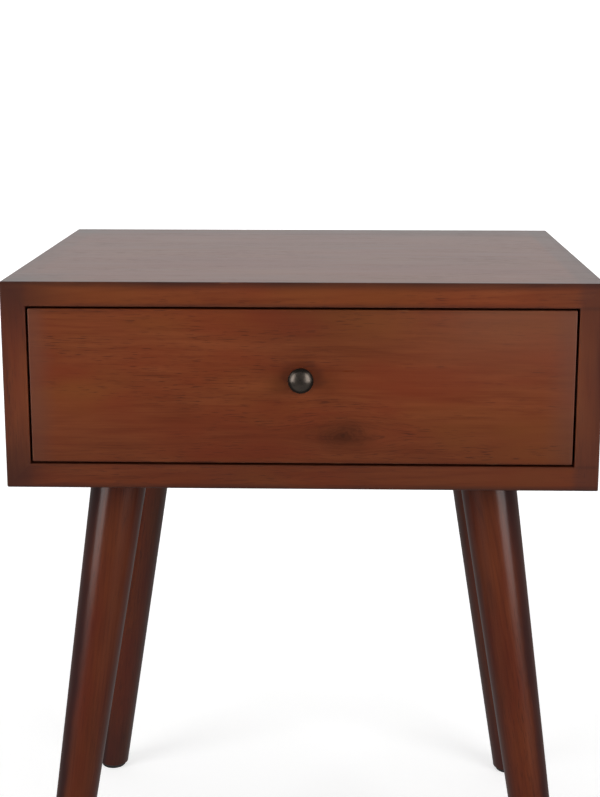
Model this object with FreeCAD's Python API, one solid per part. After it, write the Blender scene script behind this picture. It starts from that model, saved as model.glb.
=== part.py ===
import FreeCAD, Part

# Nightstand with one inset drawer: a mitred box case stands on four splayed, tapered round legs,
# and its drawer runs on a pair of ball-bearing slides. Lengths are in millimetres.
#
# Frame: +X to the right, +Y to the back, +Z up. The origin is on the floor, in the middle of the
# footprint of the whole object, knob included.

import math
import os

V = FreeCAD.Vector

# ---- Driving dimensions: case --------------------------------------------------------------

OVERALL_H = 560.0
CASE_W = 460.0
CASE_D = 366.0
CASE_H = 162.0
BOARD = 19.0  # thickness of the case's boards and the drawer front
EDGE_ROUND = 1.2  # every outer edge of the case
MOUTH_ROUND = 0.6  # front edge of the drawer's opening

BACK_T = 4.0
BACK_PLAY = 0.5  # round the back panel, in its rabbet
RABBET_W = 8.0  # how far the rabbet reaches into each board
RABBET_DEPTH = 5.0

SPLINE_T = 4.0
SPLINE_W = 12.0
SPLINE_FROM_INSIDE = 10.0  # from the inside corner to the spline, along the mitre
SPLINE_STOP = 20.0  # the splines end this far from the front and the back

# ---- Driving dimensions: drawer ------------------------------------------------------------

REVEAL = 1.8  # gap all round the drawer front
DRAWER_EDGE_ROUND = 1.0

BOX_T = 12.0
BOX_D = 306.0
BOX_H = 90.0
BOX_LIFT = 14.0  # gap under the drawer box
BOX_RIM_ROUND = 1.2  # top edges of the drawer box
BOX_BOTTOM_T = 5.0
BOX_BOTTOM_UP = 10.0
GROOVE_DEPTH = 6.0
GROOVE_PLAY = 0.3
TAIL_COUNT = 3
TAIL_BASE_W = 18.0
TAIL_SLOPE = 1.0 / 6.0

KNOB_REACH = 22.0
KNOB_R = 10.4
KNOB_DOME_H = 4.6
KNOB_RIM_ROUND = 2.0
KNOB_UNDERCUT = 2.0  # from the rim to the foot of the head's bevelled underside
KNOB_NECK_R = 4.6
KNOB_COLLAR_R = 6.5
KNOB_COLLAR_H = 1.6
KNOB_ABOVE_MIDDLE = 8.7  # the knob sits a little above the middle of the drawer front
KNOB_THREAD = 9.0  # length of the knob's screw inside the knob

# ---- Driving dimensions: slides ------------------------------------------------------------
# A slide's section is given as a depth U from the case's inner face and a height W from the
# slide's centre line. From the case to the drawer come the cabinet rail, the outer ball cage, the
# middle rail, the inner ball cage and the drawer rail, each a channel with its own web and flanges.

SLIDE_L = 300.0
SLIDE_W = 12.7  # the side space that a slide fills
SLIDE_SETBACK = 1.0  # from the drawer front's back face to the slide
BUMPER_L = 8.0
BUMPER_ROUND = 1.5
INNER_L = SLIDE_L - BUMPER_L - 0.5  # middle and drawer rails, which rest just clear of the bumper

CABINET_U = (0.0, 10.0)  # web's outer face, and flanges' ends
CABINET_W = 22.5
CABINET_T = 1.2
LIP_T = 0.8
LIP_H = 1.4
OUTER_CAGE_U = (2.4, 8.6)
OUTER_CAGE_W = 20.0
OUTER_BALL = (6.4, 19.6)
MIDDLE_U = (3.3, 10.9)
MIDDLE_W = 17.9
MIDDLE_T = 1.0
INNER_CAGE_U = (4.7, 10.2)
INNER_CAGE_W = 15.6
INNER_BALL = (8.2, 15.2)
DRAWER_U = (12.7, 5.6)
DRAWER_W = 13.5
DRAWER_T = 1.2

CAGE_WEB_T = 0.5
CAGE_STRIP_T = 0.8
CAGE_END = 8.0  # cage beyond its last ball
BALL_R = 1.6
BALLS_PER_ROW = 6
BALL_PITCH = 14.0

CABINET_SCREW_PLACES = (0.12, 0.45, 0.9)  # shares of the slide's length
DRAWER_SCREW_PLACES = (0.2, 0.55, 0.8)
ACCESS_HOLE_R = 5.0  # lets a screwdriver through the inner rails to the cabinet rail's screws

# ---- Driving dimensions: legs --------------------------------------------------------------

LEG_INSET_X = 80.8  # leg axis from the case's side, at the underside of the case
LEG_INSET_Y = 60.9  # and from the case's front or back
SPLAY_X = math.radians(8.2)
SPLAY_Y = math.radians(6.0)
LEG_TOP_R = 22.5
LEG_FOOT_R = 14.5
LEG_CHAMFER = 1.0
FOOT_ROUND = 1.0

PLATE_SIDE = 64.0
PLATE_T = 2.5
PLATE_CORNER_R = 7.0
PLATE_HOLE_INSET = 8.0
PAD_DROP = 9.2  # from the underside of the case to the leg's top, along the leg
PAD_T = 3.0
PAD_R = 19.0
PAD_WALL = 2.8
NUT_H = 4.0
NUT_R = 7.5  # across the corners

BOLT_R = 3.95
BOLT_TOP = 1.8  # stations along the leg, from the underside of the case
BOLT_NECK = 14.0
BOLT_TIP = 44.0
BOLT_POINT = 6.0
BOLT_WOOD_R = 3.4
BOLT_CHAMFER = 0.6

GLIDE_R = 12.0
GLIDE_H = 4.0
GLIDE_CHAMFER = 1.0
GLIDE_PIN_R = 1.25
GLIDE_PIN_L = 12.0
GLIDE_PIN_POINT = 3.0

# ---- Driving dimensions: screws ------------------------------------------------------------
# Each screw is (length under the head, shank radius, head radius, head height).

BACK_SCREW = (16.0, 1.5, 3.0, 2.0)
PLATE_SCREW = (16.0, 2.0, 4.0, 2.4)
CABINET_SCREW = (15.0, 1.9, 4.0, 1.0)
DRAWER_SCREW = (11.0, 1.9, 4.0, 1.0)
FRONT_SCREW = (26.0, 2.0, 4.2, 2.6)
KNOB_SCREW = (BOX_T + BOARD + KNOB_THREAD, 2.0, 4.5, 2.2)
FRONT_SCREW_X = 130.0
FRONT_SCREW_UP = 25.0  # from the drawer box's lower edge to the lower pair
FRONT_SCREW_DOWN = 18.0  # from its upper edge to the upper pair
BACK_SCREW_SHARES = (0.12, 0.85)  # of half the opening's width
CROSS_REACH = 0.5  # the driver's cross in each head, as shares of the head's radius
CROSS_HALF_W = 0.13
CROSS_DEPTH = 0.6  # and of its height

PLAY = 0.05  # radial clearance of every screw, bolt and ball in its hole
WIDE_PLAY = 0.3  # and where a screw only passes through
PILOT_SPARE = 0.5  # how much deeper a blind hole is than its screw
OVER = 5.0  # how far a cutting tool runs past what it cuts

# ---- Places worked out from them -----------------------------------------------------------

CASE_BOTTOM = OVERALL_H - CASE_H
HALF_W = CASE_W / 2
FRONT_Y = KNOB_REACH - (CASE_D + KNOB_REACH) / 2
BACK_Y = FRONT_Y + CASE_D
MOUTH_X = HALF_W - BOARD
MOUTH_LOW = CASE_BOTTOM + BOARD
MOUTH_HIGH = OVERALL_H - BOARD

BOX_X = MOUTH_X - SLIDE_W
BOX_FRONT = FRONT_Y + BOARD
BOX_BACK = BOX_FRONT + BOX_D
BOX_LOW = MOUTH_LOW + BOX_LIFT
BOX_HIGH = BOX_LOW + BOX_H
PANEL_LOW = BOX_LOW + BOX_BOTTOM_UP

SLIDE_Z = (BOX_LOW + BOX_HIGH) / 2
SLIDE_FRONT = BOX_FRONT + SLIDE_SETBACK
SLIDE_BACK = SLIDE_FRONT + SLIDE_L
CAGE_MIDDLE = SLIDE_FRONT + INNER_L / 2
KNOB_Z = (CASE_BOTTOM + OVERALL_H) / 2 + KNOB_ABOVE_MIDDLE

CORNERS = {"front_left": (-1, -1), "front_right": (1, -1), "back_left": (-1, 1), "back_right": (1, 1)}
SIDES = {"left": -1, "right": 1}


# ---- Helpers -------------------------------------------------------------------------------


def save(name, *solids):
    """Writes one node: a single solid, or several separate ones."""
    shape = solids[0] if len(solids) == 1 else Part.makeCompound(list(solids))
    volume = sum(s.Volume for s in shape.Solids)
    print(f"{name}: {len(shape.Solids)} solid(s), {volume:.0f} mm3, valid {shape.isValid()}")
    shape.exportStep(f"parts/{name}.step")


def near(a, b):
    return abs(a - b) < 0.01


def block(x0, x1, y0, y1, z0, z1):
    return Part.makeBox(abs(x1 - x0), y1 - y0, z1 - z0, V(min(x0, x1), y0, z0))


def prism(points, along):
    """A closed flat outline, pushed along a vector."""
    return Part.Face(Part.makePolygon(points + points[:1])).extrude(along)


def rod(radius, start, end):
    return Part.makeCylinder(radius, (end - start).Length, start, end - start)


def placed(shape, point, rotation):
    copy = shape.copy()
    copy.Placement = FreeCAD.Placement(point, rotation)
    return copy


def aimed(shape, point, direction):
    """A shape made on +Z at the origin, carried to point with +Z turned to direction."""
    return placed(shape, point, FreeCAD.Rotation(V(0, 0, 1), direction))


def spun(outline, point, direction):
    """A closed outline of (radius, height) points, turned about the line through point."""
    points = [V(r, 0, h) for r, h in outline]
    face = Part.Face(Part.makePolygon(points + points[:1]))
    return aimed(face.revolve(V(0, 0, 0), V(0, 0, 1), 360), point, direction)


def rounded(shape, radius, chosen):
    """Rounds the straight edges that a test picks by their middle and direction."""
    edges = []
    for edge in shape.Edges:
        ends = [v.Point for v in edge.Vertexes]
        if len(ends) == 2 and chosen((ends[0] + ends[1]) / 2, (ends[1] - ends[0]).normalize()):
            edges.append(edge)
    return shape.makeFillet(radius, edges)


def crossed(screw, size, top, point, direction):
    """A screw with a driver's cross cut into its head, down from top on its own axis."""
    head_r, head_h = size[2:]
    reach, half_w = CROSS_REACH * head_r, CROSS_HALF_W * head_r
    bottom = top + CROSS_DEPTH * head_h
    slots = [block(-a, a, -b, b, top - OVER, bottom) for a, b in ((reach, half_w), (half_w, reach))]
    cross = slots[0].fuse(slots[1])
    return screw.cut(aimed(cross, point, direction)).Solids[0]


def round_screw(size, point, direction):
    """A screw whose low rounded head sits on the surface at point."""
    length, shank_r, head_r, head_h = size
    outline = [
        (0, -head_h),
        (0.55 * head_r, -head_h),
        (0.9 * head_r, -0.7 * head_h),
        (head_r, -0.3 * head_h),
        (head_r, 0),
        (shank_r, 0),
        (shank_r, length - shank_r),
        (0, length),
    ]
    return crossed(spun(outline, point, direction), size, -head_h, point, direction)


def flat_screw(size, point, direction, play=0.0):
    """A countersunk screw, or with some play its hole: the head's top is level with point."""
    length, shank_r, head_r, head_h = size
    shank_r += play
    outline = [
        (0, 0),
        (head_r + play, 0),
        (shank_r, head_h),
        (shank_r, length - shank_r),
        (0, length + play),
    ]
    turned = spun(outline, point, direction)
    return turned if play else crossed(turned, size, 0, point, direction)


def screw_hole(size, point, direction, play=PLAY):
    """A blind hole for a screw whose head sits at point."""
    length, shank_r = size[:2]
    return rod(shank_r + play, point, point + direction * (length + PILOT_SPARE))


# ---- Where the fasteners go ----------------------------------------------------------------


def back_screw_points():
    """Round the back panel, over the middle of its rabbet."""
    x = MOUTH_X + RABBET_W / 2
    z_low = MOUTH_LOW - RABBET_W / 2
    z_high = MOUTH_HIGH + RABBET_W / 2
    points = [(s * x, (z_low + z_high) / 2) for s in (-1, 1)]
    for share in BACK_SCREW_SHARES:
        points += [(s * share * MOUTH_X, z) for s in (-1, 1) for z in (z_low, z_high)]
    return [V(px, BACK_Y - RABBET_DEPTH + BACK_T, pz) for px, pz in points]


def leg_line(corner):
    """Where a leg's axis meets the underside of the case, and the way it runs down."""
    sx, sy = CORNERS[corner]
    y = FRONT_Y + LEG_INSET_Y if sy < 0 else BACK_Y - LEG_INSET_Y
    start = V(sx * (HALF_W - LEG_INSET_X), y, CASE_BOTTOM)
    return start, V(sx * math.tan(SPLAY_X), sy * math.tan(SPLAY_Y), -1).normalize()


def plate_turn(corner):
    """Angle of a leg plate about the vertical: its pad tips the way the leg splays."""
    down = leg_line(corner)[1]
    return math.atan2(down.y, down.x)


def plate_screw_points(corner):
    start = leg_line(corner)[0]
    reach = (PLATE_SIDE / 2 - PLATE_HOLE_INSET) * math.sqrt(2)
    angles = [plate_turn(corner) + math.pi / 4 + k * math.pi / 2 for k in range(4)]
    return [start + V(reach * math.cos(a), reach * math.sin(a), -PLATE_T) for a in angles]


def foot_centre(corner):
    """Middle of the leg's sawn foot, on top of its glide."""
    start, down = leg_line(corner)
    return start + down * ((CASE_BOTTOM - GLIDE_H) / -down.z)


def slide_point(side, depth, share):
    """A point on a slide's centre line, at a depth from the case's inner face."""
    return V(side * (MOUTH_X - depth), SLIDE_FRONT + share * SLIDE_L, SLIDE_Z)


def front_screw_points():
    """On the inner face of the drawer box's front board."""
    rows = (BOX_LOW + FRONT_SCREW_UP, BOX_HIGH - FRONT_SCREW_DOWN)
    return [V(s * FRONT_SCREW_X, BOX_FRONT + BOX_T, z) for s in (-1, 1) for z in rows]


# ---- Case ----------------------------------------------------------------------------------


def on_mouth(middle, way):
    """Whether an edge belongs to the front of the drawer's opening."""
    inside = abs(middle.x) < MOUTH_X + PLAY and MOUTH_LOW - PLAY < middle.z < MOUTH_HIGH + PLAY
    return inside and near(middle.y, FRONT_Y)


def case_ring():
    """The four boards as one hollow box with a rabbet at the back, before the mitres part them."""
    ring = block(-HALF_W, HALF_W, FRONT_Y, BACK_Y, CASE_BOTTOM, OVERALL_H)
    ring = ring.makeFillet(EDGE_ROUND, ring.Edges)
    ring = ring.cut(block(-MOUTH_X, MOUTH_X, FRONT_Y - OVER, BACK_Y + OVER, MOUTH_LOW, MOUTH_HIGH))
    ring = rounded(ring, MOUTH_ROUND, on_mouth)
    reach = MOUTH_X + RABBET_W
    low, high = MOUTH_LOW - RABBET_W, MOUTH_HIGH + RABBET_W
    return ring.cut(block(-reach, reach, BACK_Y - RABBET_DEPTH, BACK_Y + OVER, low, high))


def mitre_wedge(board):
    """The space between a board's two mitres, a little thicker than the board."""
    outer_x, inner_x = HALF_W + OVER, MOUTH_X - OVER
    outer_low, inner_low = CASE_BOTTOM - OVER, MOUTH_LOW + OVER
    outer_high, inner_high = OVERALL_H + OVER, MOUTH_HIGH - OVER
    if board in SIDES:
        outline = [(outer_x, outer_low), (outer_x, outer_high), (inner_x, inner_high), (inner_x, inner_low)]
        outline = [(SIDES[board] * x, z) for x, z in outline]
    else:
        outer, inner = (outer_high, inner_high) if board == "top" else (outer_low, inner_low)
        outline = [(-outer_x, outer), (outer_x, outer), (inner_x, inner), (-inner_x, inner)]
    return prism([V(x, FRONT_Y - OVER, z) for x, z in outline], V(0, CASE_D + 2 * OVER, 0))


def splines():
    """Four loose tongues, one across each mitre."""
    found = []
    slant = math.sqrt(0.5)
    for sx in (-1, 1):
        for inside, sz in ((MOUTH_LOW, -1), (MOUTH_HIGH, 1)):
            along = V(sx * slant, 0, sz * slant)
            across = V(sx * slant, 0, -sz * slant) * (SPLINE_W / 2)
            middle = V(sx * MOUTH_X, FRONT_Y + SPLINE_STOP, inside) + along * SPLINE_FROM_INSIDE
            low = middle - along * (SPLINE_T / 2)
            high = middle + along * (SPLINE_T / 2)
            outline = [low - across, high - across, high + across, low + across]
            found.append(prism(outline, V(0, CASE_D - 2 * SPLINE_STOP, 0)))
    return found


def back_panel():
    reach = MOUTH_X + RABBET_W - BACK_PLAY
    low, high = MOUTH_LOW - RABBET_W + BACK_PLAY, MOUTH_HIGH + RABBET_W - BACK_PLAY
    front = BACK_Y - RABBET_DEPTH
    return block(-reach, reach, front, front + BACK_T, low, high)


def build_case():
    ring = case_ring()
    loose = splines()
    forward = V(0, -1, 0)
    back_points = back_screw_points()
    back_holes = [flat_screw(BACK_SCREW, p, forward, PLAY) for p in back_points]
    plate_points = [p for corner in CORNERS for p in plate_screw_points(corner)]
    plate_holes = [screw_hole(PLATE_SCREW, p, V(0, 0, 1)) for p in plate_points]
    save("top_panel", ring.common(mitre_wedge("top")).cut(loose + back_holes))
    save("bottom_panel", ring.common(mitre_wedge("bottom")).cut(loose + back_holes + plate_holes))
    for name, s in SIDES.items():
        heads = [slide_point(s, CABINET_T, share) for share in CABINET_SCREW_PLACES]
        slide_holes = [screw_hole(CABINET_SCREW, p, V(s, 0, 0)) for p in heads]
        save(f"{name}_side_panel", ring.common(mitre_wedge(name)).cut(loose + back_holes + slide_holes))
    save("mitre_splines", *loose)
    save("back_panel", back_panel().cut(back_holes))
    save("back_panel_screws", *[flat_screw(BACK_SCREW, p, forward) for p in back_points])
    save("leg_plate_screws", *[round_screw(PLATE_SCREW, p, V(0, 0, 1)) for p in plate_points])


# ---- Legs ----------------------------------------------------------------------------------


def leg_plate(corner):
    """A pressed steel plate with a tipped, hollow pad and a nut welded inside it."""
    start, down = leg_line(corner)
    half = PLATE_SIDE / 2
    base = block(-half, half, -half, half, -PLATE_T, 0)
    base = rounded(base, PLATE_CORNER_R, lambda middle, way: near(abs(way.z), 1))
    base = placed(base, start, FreeCAD.Rotation(V(0, 0, 1), math.degrees(plate_turn(corner))))
    above = start - down * PAD_DROP
    under_case = block(-HALF_W, HALF_W, FRONT_Y, BACK_Y, CASE_BOTTOM - 2 * PAD_DROP, CASE_BOTTOM)
    pad = rod(PAD_R, above, start + down * PAD_DROP).common(under_case)
    hollow = rod(PAD_R - PAD_WALL, above, start + down * (PAD_DROP - PAD_T))
    angles = [k * math.pi / 3 for k in range(6)]
    hexagon = [V(NUT_R * math.cos(a), NUT_R * math.sin(a), 0) for a in angles]
    nut = aimed(prism(hexagon, V(0, 0, NUT_H)), start + down * (PAD_DROP - PAD_T - NUT_H), down)
    plate = base.fuse(pad).cut(hollow).fuse(nut).removeSplitter()
    holes = [rod(BOLT_R + PLAY, above, start + down * 2 * PAD_DROP)]
    for p in plate_screw_points(corner):
        holes.append(rod(PLATE_SCREW[1] + WIDE_PLAY, p - V(0, 0, OVER), p + V(0, 0, OVER)))
    return plate.cut(holes)


def hanger_bolt(corner):
    """Machine thread up into the plate's nut, wood thread down into the leg."""
    outline = [
        (0, BOLT_TOP),
        (BOLT_R - BOLT_CHAMFER, BOLT_TOP),
        (BOLT_R, BOLT_TOP + BOLT_CHAMFER),
        (BOLT_R, BOLT_NECK),
        (BOLT_WOOD_R, BOLT_NECK + BOLT_CHAMFER),
        (BOLT_WOOD_R, BOLT_TIP - BOLT_POINT),
        (0, BOLT_TIP),
    ]
    return spun(outline, *leg_line(corner))


def leg(corner):
    """A round leg that tapers evenly, its foot sawn level with the floor."""
    start, down = leg_line(corner)
    foot = foot_centre(corner)
    length = (foot - start).Length
    spare = LEG_FOOT_R
    end_r = LEG_FOOT_R - (LEG_TOP_R - LEG_FOOT_R) / (length - PAD_DROP) * spare
    outline = [
        (0, PAD_DROP),
        (LEG_TOP_R - LEG_CHAMFER, PAD_DROP),
        (LEG_TOP_R, PAD_DROP + LEG_CHAMFER),
        (end_r, length + spare),
        (0, length + spare),
    ]
    below = block(foot.x - CASE_D, foot.x + CASE_D, foot.y - CASE_D, foot.y + CASE_D, -CASE_D, GLIDE_H)
    shape = spun(outline, start, down).cut(below)
    foot_edge = [e for e in shape.Edges if near(e.BoundBox.ZMin, GLIDE_H) and near(e.BoundBox.ZMax, GLIDE_H)]
    shape = shape.makeFillet(FOOT_ROUND, foot_edge)
    holes = [
        rod(BOLT_R + PLAY, start, start + down * (BOLT_NECK + BOLT_CHAMFER)),
        rod(BOLT_WOOD_R + PLAY, start, start + down * (BOLT_TIP + PILOT_SPARE)),
        rod(GLIDE_PIN_R + PLAY, foot, foot + V(0, 0, GLIDE_PIN_L + PILOT_SPARE)),
    ]
    return shape.cut(holes)


def foot_glide(corner):
    """A round glide, flat on the floor, with a pin that is driven up into the foot."""
    foot = foot_centre(corner)
    pin_top = GLIDE_H + GLIDE_PIN_L
    outline = [
        (0, 0),
        (GLIDE_R - GLIDE_CHAMFER, 0),
        (GLIDE_R, GLIDE_CHAMFER),
        (GLIDE_R, GLIDE_H),
        (GLIDE_PIN_R, GLIDE_H),
        (GLIDE_PIN_R, pin_top - GLIDE_PIN_POINT),
        (0, pin_top),
    ]
    return spun(outline, V(foot.x, foot.y, 0), V(0, 0, 1))


def build_legs():
    for corner in CORNERS:
        save(f"leg_{corner}", leg(corner))
        save(f"leg_plate_{corner}", leg_plate(corner))
        save(f"foot_glide_{corner}", foot_glide(corner))
    save("hanger_bolts", *[hanger_bolt(corner) for corner in CORNERS])


# ---- Slides --------------------------------------------------------------------------------


def slide_bar(side, us, ws, ys):
    x0, x1 = (side * (MOUTH_X - u) for u in us)
    return block(x0, x1, *ys, SLIDE_Z + min(ws), SLIDE_Z + max(ws))


def channel(side, us, half_h, web_t, flange_t, ys):
    """A C-shaped bar: its web's outer face is at the first depth, its flanges end at the second."""
    web_u, flange_u = us
    inward = math.copysign(web_t, flange_u - web_u)
    web = slide_bar(side, (web_u, web_u + inward), (-half_h, half_h), ys)
    flanges = [slide_bar(side, us, (s * half_h, s * (half_h - flange_t)), ys) for s in (-1, 1)]
    return web.fuse(flanges).removeSplitter()


def through_holes(side, places, radius):
    """Holes across a whole slide."""
    return [rod(radius, slide_point(side, -1, p), slide_point(side, SLIDE_W + 1, p)) for p in places]


def cabinet_rail(side):
    ys = (SLIDE_FRONT, SLIDE_BACK)
    rail = channel(side, CABINET_U, CABINET_W, CABINET_T, CABINET_T, ys)
    lip_us = (CABINET_U[1] - LIP_T, CABINET_U[1])
    under = CABINET_W - CABINET_T
    lips = [slide_bar(side, lip_us, (s * under, s * (under - LIP_H)), ys) for s in (-1, 1)]
    holes = through_holes(side, CABINET_SCREW_PLACES, CABINET_SCREW[1] + WIDE_PLAY)
    return rail.fuse(lips).removeSplitter().cut(holes)


def middle_rail(side):
    ys = (SLIDE_FRONT, SLIDE_FRONT + INNER_L)
    rail = channel(side, MIDDLE_U, MIDDLE_W, MIDDLE_T, MIDDLE_T, ys)
    return rail.cut(through_holes(side, CABINET_SCREW_PLACES, ACCESS_HOLE_R))


def drawer_rail(side):
    ys = (SLIDE_FRONT, SLIDE_FRONT + INNER_L)
    rail = channel(side, DRAWER_U, DRAWER_W, DRAWER_T, DRAWER_T, ys)
    holes = through_holes(side, CABINET_SCREW_PLACES, ACCESS_HOLE_R)
    holes += through_holes(side, DRAWER_SCREW_PLACES, DRAWER_SCREW[1] + WIDE_PLAY)
    return rail.cut(holes)


def ball_points(side, ball):
    """Centres of one cage's balls, in an upper and a lower row."""
    u, w = ball
    ys = [CAGE_MIDDLE + (k - (BALLS_PER_ROW - 1) / 2) * BALL_PITCH for k in range(BALLS_PER_ROW)]
    return [V(side * (MOUTH_X - u), y, SLIDE_Z + s * w) for s in (-1, 1) for y in ys]


def ball_cage(side, us, half_h, ball):
    """A thin channel that keeps the balls apart."""
    half_l = (BALLS_PER_ROW - 1) / 2 * BALL_PITCH + CAGE_END
    cage = channel(side, us, half_h, CAGE_WEB_T, CAGE_STRIP_T, (CAGE_MIDDLE - half_l, CAGE_MIDDLE + half_l))
    up = V(0, 0, 2 * BALL_R)
    return cage.cut([rod(BALL_R + PLAY, p - up, p + up) for p in ball_points(side, ball)])


def slide_bumper(side):
    """A soft block in the back end of the cabinet rail, where the other rails come to rest."""
    front = SLIDE_BACK - BUMPER_L
    inside = CABINET_W - CABINET_T
    us = (CABINET_T, CABINET_U[1] - LIP_T)
    shape = slide_bar(side, us, (-inside, inside), (front, SLIDE_BACK))
    return rounded(shape, BUMPER_ROUND, lambda middle, way: near(middle.y, front) and near(abs(way.z), 1))


def build_slides():
    cabinet_screws = []
    drawer_screws = []
    for name, s in SIDES.items():
        save(f"{name}_cabinet_rail", cabinet_rail(s))
        save(f"{name}_middle_rail", middle_rail(s))
        save(f"{name}_drawer_rail", drawer_rail(s))
        save(f"{name}_outer_ball_cage", ball_cage(s, OUTER_CAGE_U, OUTER_CAGE_W, OUTER_BALL))
        save(f"{name}_outer_balls", *[Part.makeSphere(BALL_R, p) for p in ball_points(s, OUTER_BALL)])
        save(f"{name}_inner_ball_cage", ball_cage(s, INNER_CAGE_U, INNER_CAGE_W, INNER_BALL))
        save(f"{name}_inner_balls", *[Part.makeSphere(BALL_R, p) for p in ball_points(s, INNER_BALL)])
        save(f"{name}_slide_bumper", slide_bumper(s))
        heads = [slide_point(s, CABINET_T, share) for share in CABINET_SCREW_PLACES]
        cabinet_screws += [round_screw(CABINET_SCREW, p, V(s, 0, 0)) for p in heads]
        heads = [slide_point(s, SLIDE_W - DRAWER_T, share) for share in DRAWER_SCREW_PLACES]
        drawer_screws += [round_screw(DRAWER_SCREW, p, V(-s, 0, 0)) for p in heads]
    save("cabinet_rail_screws", *cabinet_screws)
    save("drawer_rail_screws", *drawer_screws)


# ---- Drawer --------------------------------------------------------------------------------


def knob_bore():
    """The hole for the knob's screw, through the drawer front and the box behind it."""
    radius = KNOB_SCREW[1] + WIDE_PLAY
    return rod(radius, V(0, FRONT_Y - OVER, KNOB_Z), V(0, BOX_FRONT + BOX_T + OVER, KNOB_Z))


def on_face_or_corner(middle, way):
    """Whether an edge bounds the drawer front's face or runs back from one of its corners."""
    return near(middle.y, FRONT_Y) or near(abs(way.y), 1)


def drawer_front():
    reach = MOUTH_X - REVEAL
    panel = block(-reach, reach, FRONT_Y, BOX_FRONT, MOUTH_LOW + REVEAL, MOUTH_HIGH - REVEAL)
    panel = rounded(panel, DRAWER_EDGE_ROUND, on_face_or_corner)
    return panel.cut([screw_hole(FRONT_SCREW, p, V(0, -1, 0)) for p in front_screw_points()] + [knob_bore()])


def knob():
    """A mushroom knob, turned about its screw: a collar, a hollowed neck and a domed head."""
    dome_r = (KNOB_R**2 + KNOB_DOME_H**2) / (2 * KNOB_DOME_H)
    half_angle = math.asin(KNOB_R / dome_r) / 2
    dome_middle = V(dome_r * math.sin(half_angle), 0, KNOB_REACH - dome_r * (1 - math.cos(half_angle)))
    rim = V(KNOB_R, 0, KNOB_REACH - KNOB_DOME_H)
    under_rim = V(KNOB_R - KNOB_UNDERCUT, 0, rim.z - 1.5 * KNOB_UNDERCUT)
    collar = V(KNOB_COLLAR_R, 0, KNOB_COLLAR_H)
    neck = V(KNOB_NECK_R, 0, (collar.z + under_rim.z) / 2)
    edges = [
        Part.makeLine(V(0, 0, 0), V(KNOB_COLLAR_R, 0, 0)),
        Part.makeLine(V(KNOB_COLLAR_R, 0, 0), collar),
        Part.Arc(collar, neck, under_rim).toShape(),
        Part.makeLine(under_rim, rim),
        Part.Arc(rim, dome_middle, V(0, 0, KNOB_REACH)).toShape(),
        Part.makeLine(V(0, 0, KNOB_REACH), V(0, 0, 0)),
    ]
    solid = Part.Face(Part.Wire(edges)).revolve(V(0, 0, 0), V(0, 0, 1), 360)
    rims = [e for e in solid.Edges if near(e.BoundBox.ZMin, rim.z) and near(e.BoundBox.ZMax, rim.z)]
    solid = solid.makeFillet(KNOB_RIM_ROUND, rims)
    hole = rod(KNOB_SCREW[1] + PLAY, V(0, 0, 0), V(0, 0, KNOB_THREAD + PILOT_SPARE))
    return aimed(solid.cut(hole), V(0, FRONT_Y, KNOB_Z), V(0, -1, 0))


def box_ring():
    """The drawer box's four boards as one, with the rim rounded and the bottom's groove cut."""
    ring = block(-BOX_X, BOX_X, BOX_FRONT, BOX_BACK, BOX_LOW, BOX_HIGH)
    inner_x = BOX_X - BOX_T
    inner_ys = (BOX_FRONT + BOX_T, BOX_BACK - BOX_T)
    ring = ring.cut(block(-inner_x, inner_x, *inner_ys, BOX_LOW - OVER, BOX_HIGH + OVER))
    ring = rounded(ring, BOX_RIM_ROUND, lambda middle, way: near(middle.z, BOX_HIGH))
    return ring.cut(box_bottom(0))


def box_bottom(play):
    """The bottom panel, or with no play the space that its grooves leave for it."""
    inset = BOX_T - GROOVE_DEPTH + play
    reach = BOX_X - inset
    return block(-reach, reach, BOX_FRONT + inset, BOX_BACK - inset, PANEL_LOW, PANEL_LOW + BOX_BOTTOM_T)


def side_space(side):
    """What a drawer side fills: its board between the ends, and dovetails that widen outwards."""
    ends = ((BOX_FRONT, BOX_FRONT + BOX_T), (BOX_BACK, BOX_BACK - BOX_T))
    space = block(side * BOX_X, side * (BOX_X - BOX_T), ends[0][1], ends[1][1], BOX_LOW, BOX_HIGH)
    pitch = BOX_H / TAIL_COUNT
    narrow = TAIL_BASE_W / 2
    wide = narrow + BOX_T * TAIL_SLOPE
    tails = []
    for end, root in ends:
        for k in range(TAIL_COUNT):
            middle = BOX_LOW + (k + 0.5) * pitch
            outline = [(root, -narrow), (end, -wide), (end, wide), (root, narrow)]
            points = [V(side * BOX_X, y, middle + z) for y, z in outline]
            tails.append(prism(points, V(-side * BOX_T, 0, 0)))
    return space.fuse(tails).removeSplitter()


def build_drawer():
    ring = box_ring()
    spaces = {name: side_space(s) for name, s in SIDES.items()}
    to_front = V(0, -1, 0)
    for name, s in SIDES.items():
        heads = [slide_point(s, SLIDE_W - DRAWER_T, share) for share in DRAWER_SCREW_PLACES]
        holes = [screw_hole(DRAWER_SCREW, p, V(-s, 0, 0)) for p in heads]
        save(f"drawer_box_{name}_side", ring.common(spaces[name]).cut(holes))
    ends = ring.cut(list(spaces.values())).Solids
    front, back = sorted(ends, key=lambda solid: solid.CenterOfMass.y)
    points = front_screw_points()
    through = [screw_hole(FRONT_SCREW, p, to_front, WIDE_PLAY) for p in points]
    save("drawer_box_front", front.cut(through + [knob_bore()]))
    save("drawer_box_back", back)
    save("drawer_box_bottom", box_bottom(GROOVE_PLAY))
    save("drawer_front", drawer_front())
    save("drawer_front_screws", *[round_screw(FRONT_SCREW, p, to_front) for p in points])
    save("drawer_knob", knob())
    save("knob_screw", round_screw(KNOB_SCREW, V(0, BOX_FRONT + BOX_T, KNOB_Z), to_front))


os.makedirs("parts", exist_ok=True)
build_case()
build_legs()
build_slides()
build_drawer()
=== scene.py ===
import math

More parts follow.
